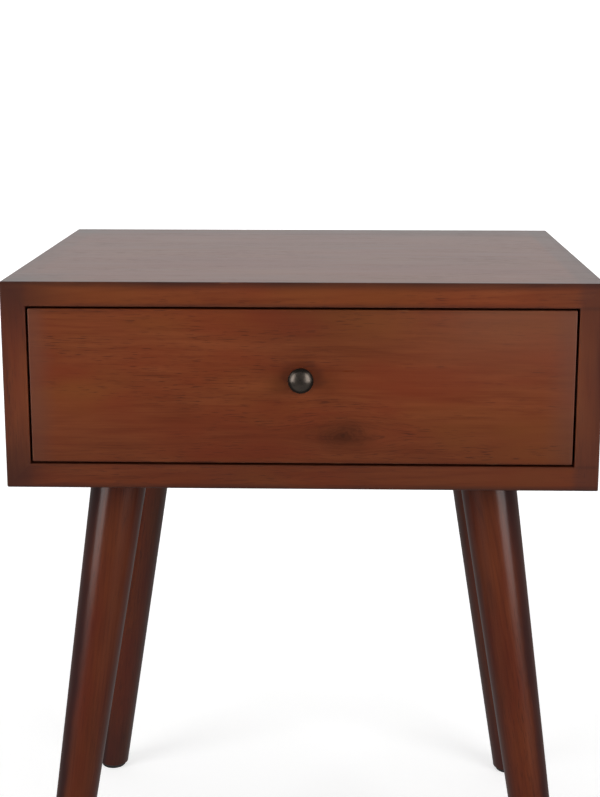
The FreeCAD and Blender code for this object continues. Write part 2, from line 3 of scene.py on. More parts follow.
import bpy
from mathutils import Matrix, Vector


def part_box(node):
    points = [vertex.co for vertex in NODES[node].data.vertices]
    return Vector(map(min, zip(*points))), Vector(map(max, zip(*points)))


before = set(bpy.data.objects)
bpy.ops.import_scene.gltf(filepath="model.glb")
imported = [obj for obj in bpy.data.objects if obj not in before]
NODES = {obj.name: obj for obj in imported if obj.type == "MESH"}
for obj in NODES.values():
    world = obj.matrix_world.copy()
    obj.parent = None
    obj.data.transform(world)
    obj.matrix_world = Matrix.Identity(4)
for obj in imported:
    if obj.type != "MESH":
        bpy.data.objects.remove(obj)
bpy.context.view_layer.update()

X, Y, Z = Vector((1, 0, 0)), Vector((0, 1, 0)), Vector((0, 0, 1))
WHITE, PALE_GREY = (1.0, 1.0, 1.0, 1.0), (0.6, 0.6, 0.6, 1.0)
CORNERS = ("front_left", "front_right", "back_left", "back_right")

# ---- Places, worked out from the frame ------------------------------------------------------


def middle(node):
    return sum(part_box(node), Vector()) / 2


CASE_LOW = Vector((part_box("left_side_panel")[0].x, *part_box("bottom_panel")[0].yz))
CASE_HIGH = Vector((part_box("right_side_panel")[1].x, *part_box("top_panel")[1].yz))
MOUTH_LOW = Vector((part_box("left_side_panel")[1].x, CASE_LOW.y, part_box("bottom_panel")[1].z))
MOUTH_HIGH = Vector((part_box("right_side_panel")[0].x, CASE_HIGH.y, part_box("top_panel")[0].z))
CASE_MIDDLE = (CASE_LOW + CASE_HIGH) / 2
CASE_W = CASE_HIGH.x - CASE_LOW.x
FRONT_LOW, FRONT_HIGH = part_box("drawer_front")
FRONT_MIDDLE = middle("drawer_front")
KNOT = FRONT_MIDDLE + Vector((0.033, 0, -0.037))  # the one knot, to the right of the knob and below it

# ---- A small recipe book for materials ------------------------------------------------------


class Recipe:
    """A material being made. Most methods add a node and give back its output socket."""

    def __init__(self, name, **shader):
        self.material = bpy.data.materials.new(name)
        self.material.use_nodes = True
        self.tree = self.material.node_tree
        self.shader = self.tree.nodes["Principled BSDF"]
        for socket, value in shader.items():
            self.shader.inputs[socket.replace("_", " ")].default_value = value

    @classmethod
    def for_tree(cls, tree):
        """A recipe for a tree that has no material, such as the world's."""
        recipe = cls.__new__(cls)
        recipe.tree = tree
        return recipe

    def add(self, kind, inputs=None, output=0, **settings):
        node = self.tree.nodes.new(kind)
        for key, value in settings.items():
            setattr(node, key, value)
        for key, value in (inputs or {}).items():
            self.feed(node.inputs[key], value)
        return node.outputs[output]

    def feed(self, socket, value):
        if isinstance(value, bpy.types.NodeSocket):
            self.tree.links.new(value, socket)
        else:
            socket.default_value = value

    def set(self, name, value):
        self.feed(self.shader.inputs[name], value)

    def place(self):
        """The point's own place with every joint at rest, so that a pattern rides with its body."""
        return self.add("ShaderNodeTexCoord", output="Object")

    def math(self, operation, *values, clamp=False):
        return self.add("ShaderNodeMath", dict(enumerate(values)), operation=operation, use_clamp=clamp)

    def plus(self, *values):
        total = values[0]
        for value in values[1:]:
            total = self.math("ADD", total, value)
        return total

    def times(self, a, b):
        return self.math("MULTIPLY", a, b)

    def around(self, value, swing, centre=0.5):
        """A 0 to 1 pattern, made to swing about centre."""
        return self.math("MULTIPLY_ADD", value, swing, centre - swing / 2)

    def vector(self, operation, a, b=None, output="Vector"):
        inputs = {0: a} if b is None else {0: a, 1: b}
        return self.add("ShaderNodeVectorMath", inputs, output, operation=operation)

    def join(self, x, y, z):
        return self.add("ShaderNodeCombineXYZ", {0: x, 1: y, 2: z})

    def split(self, vector):
        node = self.tree.nodes.new("ShaderNodeSeparateXYZ")
        self.feed(node.inputs[0], vector)
        return node.outputs

    def noise(self, vector, scale, detail=3.0, roughness=0.55, distortion=0.0, seed=0.0):
        """Noise from about 0 to 1, with its own scale along each axis, in features per metre."""
        stretched = self.vector("MULTIPLY", vector, scale)
        shifted = self.vector("ADD", stretched, (seed, 1.7 * seed, 2.3 * seed))
        inputs = {"Vector": shifted, "Scale": 1.0, "Detail": detail, "Roughness": roughness}
        return self.add("ShaderNodeTexNoise", {**inputs, "Distortion": distortion}, "Fac")

    def ease(self, value, low, high, out_low=0.0, out_high=1.0):
        """A smooth step: out_low below low, out_high above high."""
        inputs = {"Value": value, "From Min": low, "From Max": high, "To Min": out_low, "To Max": out_high}
        return self.add("ShaderNodeMapRange", inputs, interpolation_type="SMOOTHSTEP")

    def mix(self, share, a, b):
        node = self.tree.nodes.new("ShaderNodeMix")
        node.data_type = "RGBA"
        self.feed(node.inputs["Factor"], share)
        colours = (s for s in node.inputs if s.type == "RGBA")
        for socket, value in zip(colours, (a, b)):
            self.feed(socket, (*value, 1.0) if isinstance(value, tuple) else value)
        return next(s for s in node.outputs if s.type == "RGBA")

    def bump(self, height, strength, distance):
        inputs = {"Height": height, "Strength": strength, "Distance": distance}
        self.set("Normal", self.add("ShaderNodeBump", inputs, "Normal"))

    def grain_space(self, origin, along, across):
        """Place from origin as (along the grain, across it, through the board), in metres."""
        along = along.normalized()
        across = (across - along * across.dot(along)).normalized()
        offset = self.vector("SUBTRACT", self.place(), tuple(origin))
        axes = (along, across, along.cross(across))
        return self.join(*[self.vector("DOT_PRODUCT", offset, tuple(a), "Value") for a in axes])

    def facing(self, way):
        """1 on faces that look along way or against it."""
        normal = self.add("ShaderNodeNewGeometry", output="Normal")
        dot = self.vector("DOT_PRODUCT", normal, tuple(way.normalized()), "Value")
        return self.ease(self.math("ABSOLUTE", dot), 0.75, 0.97)

    def inside_of(self, low, high):
        """How far a point is inside a box's faces, on each axis."""
        offset = self.vector("SUBTRACT", self.place(), tuple((low + high) / 2))
        parts = self.split(self.vector("ABSOLUTE", offset))
        return [self.math("SUBTRACT", half, part) for half, part in zip((high - low) / 2, parts)]

    def ordered(self, a, b, c):
        """The middle one of three distances: how far a point on a box's face is from the nearest arris."""
        pairs = [self.math("MAXIMUM", *pair) for pair in ((a, b), (b, c), (a, c))]
        return self.math("MINIMUM", self.math("MINIMUM", pairs[0], pairs[1]), pairs[2])

    def worn(self, near):
        """Small rubbed spots along the arrises, where near is close to 0."""
        spots = self.noise(self.place(), (45, 45, 45), detail=4, roughness=0.7, seed=61)
        spots = self.ease(spots, 0.56, 0.68)
        return self.times(self.ease(near, 0.0002, 0.0011, 0.45, 0.0), spots)


def paint(material, *nodes):
    """Gives CAD nodes a finished material."""
    for name in nodes:
        for slot in NODES[name].material_slots:
            slot.material = material


def of_slot(slot):
    """The CAD nodes that the CAD gave this material slot."""
    return [name for name, obj in NODES.items() if obj.data.materials[0].name == slot]


# ---- Smooth shading for the CAD meshes ------------------------------------------------------

MERGE_WITHIN = 2e-6
SHARP_OVER = math.radians(30)
FLAT_FACE_WEIGHT = 50


def smooth_by_angle(limit):
    """A modifier's node group: joins facets, shades them smooth and keeps edges over the limit sharp."""
    group = bpy.data.node_groups.new("smooth_by_angle", "GeometryNodeTree")
    for way in ("INPUT", "OUTPUT"):
        group.interface.new_socket("Mesh", in_out=way, socket_type="NodeSocketGeometry")
    kinds = ("NodeGroupInput", "GeometryNodeMergeByDistance", "GeometryNodeSetMeshNormal", "NodeGroupOutput")
    chain = [group.nodes.new(kind) for kind in kinds]
    for a, b in zip(chain, chain[1:]):
        group.links.new(a.outputs[0], b.inputs[0])
    chain[1].inputs["Distance"].default_value = MERGE_WITHIN
    angle = group.nodes.new("GeometryNodeInputMeshEdgeAngle")
    sharp = group.nodes.new("FunctionNodeCompare")
    group.links.new(angle.outputs["Unsigned Angle"], sharp.inputs["A"])
    sharp.operation = "GREATER_THAN"
    sharp.inputs["B"].default_value = limit
    group.links.new(sharp.outputs["Result"], chain[2].inputs["Edge Sharpness"])
    return group


def smooth_cad():
    """Shades every CAD node's rounds smooth and leaves its flats flat."""
    group = smooth_by_angle(SHARP_OVER)
    for obj in NODES.values():
        obj.modifiers.new("smooth_by_angle", "NODES").node_group = group
        weighted = obj.modifiers.new("flat_flats", "WEIGHTED_NORMAL")
        weighted.weight = FLAT_FACE_WEIGHT
        weighted.keep_sharp = True


# ---- Wood -----------------------------------------------------------------------------------

# Features per metre along the grain, across it and through the board.
HAIRS = (28, 900, 900)
CLOUD = (5, 16, 16)
RED_PATCHES = (9, 30, 30)
GOLD_PATCHES = (8, 20, 20)
PORES = (80, 1500, 1500)
PORE_BEDS = (7, 45, 45)
PITH_SWAY = (3.5, 12, 12)
FIBRES_ACROSS = 240
GRAIN_DEPTH = 0.0003  # metres


def wood(name, origin, along, across, seed, look, shade=None, warp=None, **shader):
    """Sawn wood in the round: fibres, rings, pores and cloudy patches, all in the board's own grain space.

    look gives its colours and contrasts. shade(r) gives pairs of (share, colour) laid over it. warp(r) bends
    the grain sideways, as round a knot.
    """
    r = Recipe(name, **shader)
    grain = r.grain_space(origin, along, across)
    if warp:
        grain = r.vector("ADD", grain, r.join(0.0, warp(r), 0.0))
    fine = (look["fibre_run"], FIBRES_ACROSS, FIBRES_ACROSS)
    fibres = r.noise(grain, fine, detail=5, roughness=0.62, distortion=0.15, seed=seed)
    hairs = r.noise(grain, HAIRS, detail=3, roughness=0.6, seed=seed + 3)
    pores = r.ease(r.noise(grain, PORES, detail=1, seed=seed + 7), 0.57, 0.70)
    pore_beds = r.ease(r.noise(grain, PORE_BEDS, detail=2, seed=seed + 23), 0.40, 0.62)
    pores = r.times(pores, pore_beds)
    colour = wood_colour(r, grain, fibres, hairs, seed, look)
    colour = r.mix(r.times(pores, look["pore_share"]), colour, look["pore"])
    colour = r.mix(r.times(r.facing(along), look["end_share"]), colour, look["end"])
    for share, over in shade(r) if shade else ():
        colour = r.mix(share, colour, over)
    r.set("Base Color", colour)
    gloss = r.plus(r.around(fibres, look["rough_swing"], look["rough"]), r.times(pores, 0.10))
    r.set("Roughness", gloss)
    height = r.plus(r.times(fibres, 0.5), r.times(hairs, 0.25), r.times(pores, -1.0))
    r.bump(height, look["bump"], GRAIN_DEPTH)
    return r.material


def wood_colour(r, grain, fibres, hairs, seed, look):
    """Dark to light with the fibres, rings and clouds, then redder and more golden in patches."""
    cloud = r.noise(grain, CLOUD, detail=3, roughness=0.5, seed=seed + 11)
    tone = r.plus(
        r.around(fibres, look["fibres"]),
        r.around(hairs, look["hairs"], 0.0),
        r.around(growth_rings(r, grain, seed, look), -look["rings"], 0.0),
        r.around(cloud, look["cloud"], 0.0),
    )
    tone = r.math("MAXIMUM", r.math("MINIMUM", tone, 1.0), 0.0)
    colour = r.mix(tone, look["dark"], look["light"])
    red = r.noise(grain, RED_PATCHES, detail=2, seed=seed + 17)
    colour = r.mix(r.ease(red, 0.35, 0.7, 0.0, look["red_share"]), colour, look["red"])
    gold = r.noise(grain, GOLD_PATCHES, detail=2, seed=seed + 41)
    return r.mix(r.ease(gold, 0.45, 0.75, 0.0, look["gold_share"]), colour, look["gold"])


def growth_rings(r, grain, seed, look):
    """Rings about a pith that lies beside the board and drifts along it."""
    along, across, through = r.split(grain)
    sway = r.noise(grain, PITH_SWAY, detail=3, seed=seed + 29)
    beside = r.plus(across, r.times(along, look["drift"]), look["pith_across"])
    behind = r.plus(through, r.times(along, 0.03), look["pith_behind"], r.times(sway, 0.012))
    radius = r.math("SQRT", r.plus(r.times(beside, beside), r.times(behind, behind)))
    rings = r.math("FRACT", r.times(radius, look["rings_per_m"]))
    return r.ease(r.math("ABSOLUTE", r.math("SUBTRACT", rings, 0.42)), 0.20, 0.55)


STAINED = {
    "dark": (0.112, 0.0215, 0.0060),
    "light": (0.222, 0.0560, 0.0180),
    "red": (0.170, 0.0290, 0.0090),
    "red_share": 0.60,
    "gold": (0.185, 0.0500, 0.0120),
    "gold_share": 0.60,
    "pore": (0.036, 0.0090, 0.0045),
    "pore_share": 0.50,
    "end": (0.060, 0.0140, 0.0070),
    "end_share": 0.3,
    "fibres": 1.15,
    "fibre_run": 11,
    "hairs": 0.55,
    "rings": 0.20,
    "rings_per_m": 300,
    "pith_across": 0.03,
    "pith_behind": 0.07,
    "drift": 0.05,
    "cloud": 0.95,
    "rough": 0.30,
    "rough_swing": 0.10,
    "bump": 0.10,
}
FRONT_STAIN = {
    **STAINED,
    "red_share": 0.80,
    "gold_share": 0.85,
    "pore_share": 0.65,
    "fibres": 1.50,
    "hairs": 1.00,
    "rings": 0.10,
    "cloud": 1.30,
}
LEG_STAIN = {
    **STAINED,
    "dark": (0.052, 0.0085, 0.0035),
    "light": (0.150, 0.0330, 0.0095),
    "red": (0.100, 0.0120, 0.0050),
    "gold": (0.140, 0.0330, 0.0080),
    "pith_across": 0.015,
    "pith_behind": 0.03,
    "rings": 0.15,
    "fibres": 0.90,
    "fibre_run": 14,
    "cloud": 1.40,
    "rough": 0.34,
}
RAW = {
    **STAINED,
    "dark": (0.400, 0.2450, 0.1150),
    "light": (0.640, 0.4500, 0.2550),
    "red": (0.560, 0.3400, 0.1800),
    "red_share": 0.35,
    "gold": (0.600, 0.4300, 0.2100),
    "pore": (0.260, 0.1450, 0.0700),
    "pore_share": 0.45,
    "end": (0.330, 0.2000, 0.1000),
    "rings": 0.45,
    "rings_per_m": 240,
    "rough": 0.52,
    "bump": 0.16,
}
PLY = {
    **RAW,
    "dark": (0.250, 0.1400, 0.0720),
    "light": (0.430, 0.2750, 0.1550),
    "red": (0.360, 0.2000, 0.1050),
    "gold": (0.400, 0.2550, 0.1300),
    "pore": (0.160, 0.0850, 0.0450),
    "end": (0.200, 0.1150, 0.0650),
    "rings": 0.32,
    "rings_per_m": 170,
    "pith_behind": 0.16,
    "drift": 0.20,
    "rough": 0.56,
}
# Toner, also used for painted shade at the mouth and bottom.
TONER_AND_SHADE = (0.030, 0.0130, 0.0110)
# A painted sheen for the case's sides.
SIDE_SHEEN = (0.060, 0.0240, 0.0200)
BARE = (0.260, 0.1150, 0.0520)
# Painted sheen for the drawer front's top right and ends.
PALE_SHEEN = (0.190, 0.0700, 0.0380)
END_SHEEN = (0.135, 0.0520, 0.0330)
SMOKE = (0.055, 0.0200, 0.0110)
# Painted shade and the knob's painted shadow on the drawer front.
FRONT_PAINTED_SHADE = (0.040, 0.0110, 0.0070)
KNOT_HALO = (0.055, 0.0130, 0.0045)
KNOT_HEART = (0.030, 0.0080, 0.0035)
# Toner, also used for painted shade and the case's painted shadow on the legs.
LEG_TONER_AND_SHADE = (0.024, 0.0060, 0.0065)

# How far each mark reaches, in metres.
# The mouth and low reaches are for painted shade.
CORNER_REACH, BACK_REACH, BOTTOM_SHADE_REACH, MOUTH_SHADE_REACH = 0.075, 0.08, 0.01, 0.004
LONG_ARRIS_REACH, SHORT_ARRIS_REACH = 0.008, 0.012
# The end reach is for a painted sheen; the edge and pool reaches are for painted shade and the knob's painted
# shadow.
END_SHEEN_REACH, GAP_SHADE_REACH, KNOB_SHADOW_REACH = 0.024, 0.005, 0.018
# The leg-top reach is for the case's painted shadow, with toner.
LEG_TOP_SHADOW_REACH, LEG_FOOT_REACH = 0.02, 0.09
KNOT_SQUEEZE = 0.62  # along the grain
KNOT_HALO_REACH = 0.019
KNOT_WARP_REACH = 0.038
KNOT_WARP = 0.0065
KNOT_RINGS = 2600.0  # radians of swirl to a metre


def case_shade(r):
    """Dark toner on the case's corners, arrises and back, painted shade at its mouth and bottom, and painted
    sheen on its sides.
    """
    dx, dy, dz = r.inside_of(CASE_LOW, CASE_HIGH)
    x, y, z = r.split(r.place())
    far = r.math("MAXIMUM", r.math("MAXIMUM", dx, dy), dz)
    corner = r.times(r.ease(far, 0.002, CORNER_REACH, 0.64, 0.0), r.ease(x, -0.1, 0.2, 1.0, 0.46))
    long_arris = r.ease(r.math("MAXIMUM", dy, dz), 0.0, LONG_ARRIS_REACH, 0.76, 0.0)
    from_short = r.math("MAXIMUM", r.math("MINIMUM", dy, dz), dx)
    short_arris = r.ease(from_short, 0.0, SHORT_ARRIS_REACH, 0.34, 0.0)
    off_middle = r.math("ABSOLUTE", r.math("SUBTRACT", z, CASE_MIDDLE.z))
    off_mouth = r.math("ABSOLUTE", r.math("SUBTRACT", off_middle, MOUTH_HIGH.z - CASE_MIDDLE.z))
    # Painted shade along the mouth's edges, next to the gaps round the drawer.
    mouth_shade = r.times(r.ease(off_mouth, 0.0, MOUTH_SHADE_REACH, 0.50, 0.0), r.ease(dy, 0.004, 0.03, 1.0, 0.0))
    # Painted shade: the case darker at its bottom, as if lit from above.
    low = r.ease(z, MOUTH_LOW.z, MOUTH_LOW.z + BOTTOM_SHADE_REACH, 0.30, 0.0)
    back = r.ease(y, CASE_HIGH.y - BACK_REACH, CASE_HIGH.y, 0.0, 0.56)
    back = r.times(back, r.ease(x, -0.2, 0.2, 0.65, 1.0))
    share = corner
    for mark in (long_arris, short_arris, mouth_shade, low, back):
        share = r.math("MAXIMUM", share, mark)
    drifting = r.noise(r.place(), (16, 16, 16), detail=3, seed=4)
    # Painted sheen: the case greyer beyond the mouth's sides, more so on the right.
    side = r.ease(r.math("ABSOLUTE", x), MOUTH_HIGH.x - 0.004, MOUTH_HIGH.x + 0.004)
    side = r.times(side, r.ease(x, -0.2, 0.2, 0.22, 0.45))
    toner_and_shade = r.math("MULTIPLY", share, r.around(drifting, 0.9, 1.0), clamp=True)
    near = r.ordered(dx, dy, dz)
    return [(r.times(side, r.around(drifting, 0.8, 1.0)), SIDE_SHEEN), (toner_and_shade, TONER_AND_SHADE), (r.worn(near), BARE)]


def front_shade(r):
    """The drawer front's marks: painted sheen and smoke, painted shade along its edges and lower half, the
    knob's painted shadow, and a knot.
    """
    drifting = r.noise(r.place(), (14, 14, 14), detail=3, seed=9)
    ragged = r.around(r.noise(r.place(), (60, 60, 130), detail=3, seed=2), 0.015, 0.0)
    rubbed = r.worn(r.ordered(*r.inside_of(FRONT_LOW, FRONT_HIGH)))
    return [
        *sheen_and_smoke_marks(r, drifting),
        (front_painted_shade(r, drifting, ragged), FRONT_PAINTED_SHADE),
        *knot_marks(r, ragged),
        (rubbed, BARE),
    ]


def sheen_and_smoke_marks(r, drifting):
    """A painted sheen on the top right and on the ends, and a smoky upper middle."""
    dx = r.inside_of(FRONT_LOW, FRONT_HIGH)[0]
    x, _, z = r.split(r.place())
    # Painted sheen: the top right paler.
    pale_sheen = r.times(r.ease(x, 0.02, 0.17), r.ease(z, FRONT_MIDDLE.z - 0.02, FRONT_HIGH.z, 0.0, 0.50))
    # Painted sheen: the ends greyer.
    end_sheen = r.ease(r.plus(dx, r.around(drifting, 0.03, 0.0)), 0.0, END_SHEEN_REACH, 0.55, 0.0)
    sideways = r.math("ABSOLUTE", r.plus(x, -0.012, r.around(drifting, 0.06, 0.0)))
    smoky = r.ease(sideways, 0.015, 0.085, 0.24, 0.0)
    smoky = r.times(smoky, r.ease(z, FRONT_MIDDLE.z, FRONT_HIGH.z - 0.02))
    return [(r.times(pale_sheen, r.around(drifting, 1.2, 1.0)), PALE_SHEEN), (end_sheen, END_SHEEN), (smoky, SMOKE)]


def front_painted_shade(r, drifting, ragged):
    """Painted shade along the front's top and bottom, next to the gaps, and over its lower half, and the
    knob's painted shadow round it.
    """
    dz = r.inside_of(FRONT_LOW, FRONT_HIGH)[2]
    z = r.split(r.place())[2]
    # Painted shade next to the gaps above and below, stronger at the bottom, and over the lower half, as if
    # lit from above.
    gap_shade = r.times(r.ease(dz, 0.0, GAP_SHADE_REACH, 0.50, 0.0), r.ease(z, FRONT_LOW.z, FRONT_HIGH.z, 1.0, 0.3))
    low = r.ease(z, FRONT_LOW.z, FRONT_MIDDLE.z, 0.30, 0.0)
    toner_and_shade = r.math("MULTIPLY", r.math("MAXIMUM", gap_shade, low), r.around(drifting, 1.1, 1.0), clamp=True)
    # The knob's painted shadow, pooled round it.
    from_knob = r.vector("SUBTRACT", r.place(), tuple(middle("drawer_knob")))
    from_knob = r.vector("LENGTH", r.vector("MULTIPLY", from_knob, (0.85, 0.0, 1.0)), None, "Value")
    knob_shadow = r.ease(r.plus(from_knob, ragged), KNOB_SHADOW_REACH / 2, KNOB_SHADOW_REACH, 0.44, 0.0)
    return r.math("MAXIMUM", toner_and_shade, knob_shadow)


def knot_marks(r, ragged):
    """The knot's swirled dark halo and its darker heart."""
    away = r.plus(r.vector("LENGTH", knot_offset(r), None, "Value"), ragged)
    swirl = r.math("SINE", r.times(away, KNOT_RINGS))
    halo = r.times(r.ease(away, 0.001, KNOT_HALO_REACH, 0.78, 0.0), r.around(swirl, 0.16, 1.0))
    heart = r.ease(away, -0.002, 0.0045, 0.75, 0.0)
    return [(halo, KNOT_HALO), (heart, KNOT_HEART)]


def knot_offset(r):
    """Place about the knot, squeezed along the grain, so that the knot reads as a flat oval."""
    return r.vector("MULTIPLY", r.vector("SUBTRACT", r.place(), tuple(KNOT)), (KNOT_SQUEEZE, 0.0, 1.0))


def knot_warp(r):
    """The grain parts above and below the knot."""
    away = r.vector("LENGTH", knot_offset(r), None, "Value")
    side = r.ease(r.split(knot_offset(r))[2], -0.004, 0.004, -KNOT_WARP, KNOT_WARP)
    return r.times(side, r.ease(away, 0.0, KNOT_WARP_REACH, -1.0, 0.0))


def leg_shade(foot, down):
    """Toner at a leg's foot, the case's painted shadow with toner at its top, and painted shade down its
    inner side and in a streak each side of the outer one.
    """
    outward = X if foot.x > 0 else -X

    def shade(r):
        _, across, through = r.split(r.grain_space(foot, down, outward))
        round_it = r.plus(r.math("ABSOLUTE", across), r.math("ABSOLUTE", through), 1e-6)
        turn = r.math("DIVIDE", across, round_it)  # 1 on the outer side, -1 on the inner one
        height = r.split(r.place())[2]
        # The case's painted shadow, with toner, on the leg just under it.
        top = r.ease(height, CASE_LOW.z - LEG_TOP_SHADOW_REACH, CASE_LOW.z, 0.0, 0.40)
        low = r.ease(height, 0.0, LEG_FOOT_REACH, 0.45, 0.0)
        drifting = r.noise(r.place(), (24, 24, 9), detail=3, seed=2)
        wander = r.around(drifting, 0.35, 0.0)
        outward_turn = r.plus(turn, wander)
        # Painted shade along the outline: streaks each side of the outer side, and the inner side darker.
        streaks = r.ease(outward_turn, 0.22, 0.46, 0.0, 0.82)
        outer_shade = r.times(streaks, r.ease(outward_turn, 0.55, 0.88, 1.0, 0.35))
        inner_shade = r.ease(r.plus(r.times(turn, -1.0), wander), 0.42, 0.72, 0.0, 0.40)
        share = r.math("MAXIMUM", r.math("MAXIMUM", top, low), r.math("MAXIMUM", outer_shade, inner_shade))
        toner_and_shade = r.math("MULTIPLY", share, r.around(drifting, 0.8, 1.0), clamp=True)
        return [(toner_and_shade, LEG_TONER_AND_SHADE), (r.worn(r.times(height, 0.06)), BARE)]

    return shade


LACQUER = {"Specular_IOR_Level": 0.3}
LEG_GLOSS = {"Specular_IOR_Level": 0.12, "Coat_Weight": 0.78, "Coat_Roughness": 0.20}


def dress_case():
    boards = (("top", X), ("bottom", X), ("left_side", Z), ("right_side", Z))
    for k, (side, along) in enumerate(boards):
        node = f"{side}_panel"
        pith = middle(node) + Vector((0, 0.02 * k, 0))
        stain = {"look": STAINED, "shade": case_shade}
        paint(wood(f"stained_{node}", pith, along, Y, seed=1 + k, **stain, **LACQUER), node)
    paint(wood("raw_splines", CASE_MIDDLE, Y, Z, seed=26, look=RAW), "mitre_splines")
    paint(wood("ply_back", middle("back_panel"), X, Z, seed=30, look=PLY), "back_panel")


def dress_drawer():
    front = {"look": FRONT_STAIN, "shade": front_shade, "warp": knot_warp}
    paint(wood("stained_front", FRONT_MIDDLE, X, Z, seed=5, **front, **LACQUER), "drawer_front")
    boards = (("front", X), ("back", X), ("left_side", Y), ("right_side", Y))
    for k, (side, along) in enumerate(boards):
        node = f"drawer_box_{side}"
        paint(wood(f"raw_{node}", middle(node), along, Z, seed=20 + k, look=RAW), node)
    paint(wood("ply_bottom", middle("drawer_box_bottom"), X, Y, seed=31, look=PLY), "drawer_box_bottom")


def dress_legs():
    for k, corner in enumerate(CORNERS):
        foot = middle(f"foot_glide_{corner}")
        down = middle(f"leg_plate_{corner}") - foot
        stain = {"look": LEG_STAIN, "shade": leg_shade(foot, down)}
        node = f"leg_{corner}"
        paint(wood(f"stained_{node}", foot, down, X, seed=10 + k, **stain, **LEG_GLOSS), node)


# ---- Metal, plastic and rubber --------------------------------------------------------------

SKIN_DEPTH = 0.0001  # metres
BRONZE_DARK, BRONZE_LIGHT = (0.108, 0.0900, 0.0760), (0.158, 0.1290, 0.1090)
BRONZE_SPECKS = (0.064, 0.0480, 0.0380)
BRONZE_RUBBED = (0.280, 0.2250, 0.1750)
# Patina at the knob's foot, and painted shade on its rim.
BRONZE_PATINA_AND_SHADE = (0.030, 0.024, 0.020)


def metal(name, nodes, dark, light, rough, swing, grain, seed, bump=0.05):
    """Metal with fine marks, a film and spots. grain is marks per metre along x, y and z."""
    r = Recipe(name, Metallic=1.0)
    marks = r.noise(r.place(), grain, detail=4, roughness=0.6, seed=seed)
    film = r.noise(r.place(), (60, 60, 60), detail=4, seed=seed + 1)
    spots = r.ease(r.noise(r.place(), (420, 420, 420), detail=2, seed=seed + 2), 0.60, 0.74)
    r.set("Base Color", r.mix(r.plus(r.around(film, 1.2), r.around(marks, 0.5, 0.0)), dark, light))
    shine = r.plus(r.around(marks, swing, rough), r.around(film, swing, 0.0), r.times(spots, 0.12))
    r.set("Roughness", shine)
    r.bump(r.plus(marks, r.times(spots, -0.6)), bump, SKIN_DEPTH)
    paint(r.material, *nodes)


def dress_knob():
    """Dark bronze that has rubbed a little brighter on the crown, with patina at its foot and painted shade
    on its rim.
    """
    r = Recipe("aged_bronze", Metallic=1.0)
    low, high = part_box("drawer_knob")
    mottle = r.noise(r.place(), (380, 380, 380), detail=5, roughness=0.65, seed=3)
    cloud = r.noise(r.place(), (90, 90, 90), detail=3, seed=5)
    height = r.split(r.place())[1]
    rubbed = r.times(r.ease(height, low.y + 0.0035, low.y, 0.0, 1.0), r.ease(mottle, 0.42, 0.66))
    colour = r.mix(r.around(cloud, 1.6), BRONZE_DARK, BRONZE_LIGHT)
    colour = r.mix(r.times(r.ease(mottle, 0.55, 0.75), 0.5), colour, BRONZE_SPECKS)
    colour = r.mix(r.times(rubbed, 0.20), colour, BRONZE_RUBBED)
    base = r.ease(height, high.y - 0.004, high.y - 0.001, 0.0, 0.55)
    # Painted shade on the rim, where it turns away from the front.
    rim_shade = r.times(r.ease(r.facing(Y), 0.20, 0.62, 0.80, 0.0), r.around(mottle, 0.5, 1.0))
    r.set("Base Color", r.mix(r.math("MAXIMUM", base, rim_shade), colour, BRONZE_PATINA_AND_SHADE))
    r.set("Roughness", r.plus(r.around(mottle, 0.14, 0.28), r.around(cloud, 0.10, 0.0)))
    r.bump(mottle, 0.10, SKIN_DEPTH)
    paint(r.material, "drawer_knob")


def dull(name, nodes, dark, light, rough, grain, bump, seed):
    """Plastic, rubber or paint: a fine moulded skin with scuffs and dust."""
    r = Recipe(name, Specular_IOR_Level=0.4)
    skin = r.noise(r.place(), (grain, grain, grain), detail=3, seed=seed)
    cloud = r.noise(r.place(), (70, 70, 70), detail=4, seed=seed + 1)
    scuffs = r.ease(r.noise(r.place(), (900, 120, 300), detail=3, seed=seed + 2), 0.60, 0.72)
    tone = r.plus(r.around(cloud, 1.1), r.around(skin, 0.5, 0.0), r.times(scuffs, 0.5))
    r.set("Base Color", r.mix(tone, dark, light))
    r.set("Roughness", r.plus(r.around(skin, 0.18, rough), r.times(scuffs, 0.12)))
    r.bump(skin, bump, SKIN_DEPTH)
    paint(r.material, *nodes)


ZINC = ((0.42, 0.43, 0.45), (0.66, 0.67, 0.68))
SCREW_ZINC = ((0.40, 0.38, 0.32), (0.66, 0.64, 0.56))
CHROME = ((0.70, 0.71, 0.73), (0.82, 0.83, 0.85))
BLACK_PAINT = ((0.010, 0.010, 0.011), (0.026, 0.026, 0.028))
BLACK_NYLON = ((0.012, 0.012, 0.012), (0.040, 0.039, 0.037))
BLACK_RUBBER = ((0.014, 0.013, 0.012), (0.034, 0.033, 0.031))


def dress_fittings():
    drawn, even, coarse = (900, 12, 900), (300, 300, 300), (700, 700, 700)
    rails, balls, screws = of_slot("rail_steel"), of_slot("ball_steel"), of_slot("screw_steel")
    metal("rail_zinc", rails, *ZINC, rough=0.30, swing=0.14, grain=drawn, seed=11)
    metal("ball_chrome", balls, *CHROME, rough=0.10, swing=0.06, grain=even, seed=12, bump=0.02)
    metal("screw_zinc", screws, *SCREW_ZINC, rough=0.34, swing=0.18, grain=coarse, seed=13)
    dull("plate_paint", of_slot("plate_steel"), *BLACK_PAINT, rough=0.42, grain=1400, bump=0.20, seed=14)
    dull("glide_nylon", of_slot("glide_plastic"), *BLACK_NYLON, rough=0.50, grain=900, bump=0.15, seed=15)
    dull("bumper_rubber", of_slot("bumper_rubber"), *BLACK_RUBBER, rough=0.72, grain=1600, bump=0.30, seed=16)


# ---- Studio ---------------------------------------------------------------------------------

